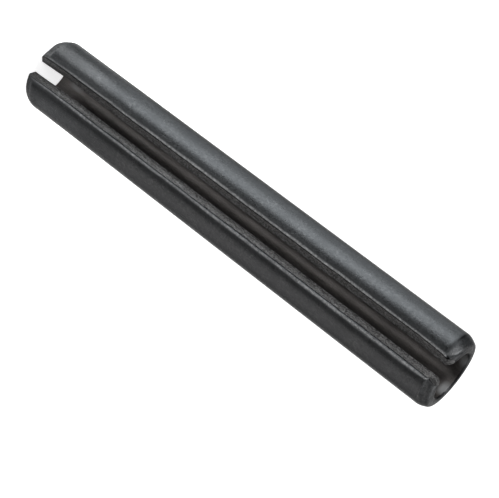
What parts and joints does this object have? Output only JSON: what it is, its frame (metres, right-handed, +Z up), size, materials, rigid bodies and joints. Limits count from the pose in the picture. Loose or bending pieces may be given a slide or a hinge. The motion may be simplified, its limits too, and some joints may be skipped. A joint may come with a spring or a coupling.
{
  "type": "slotted spring pin",
  "caption": "Tube of rolled spring steel strip, open along one side, with bevelled ends. It is driven into a slightly smaller hole and grips by springing outwards.",
  "frame": {"origin": "on the pin's axis, halfway along its length", "axes": "+Z up along the pin's axis, towards the end where the slot is a little wider; -Y out of the middle of the slot"},
  "size_m": [0.0066, 0.0064, 0.0444],
  "materials": {
    "black_spring_steel": "satin black oxide over hardened spring steel"
  },
  "bodies": {
    "root": {"roll_pin": "black_spring_steel"}
  },
  "joints": []
}
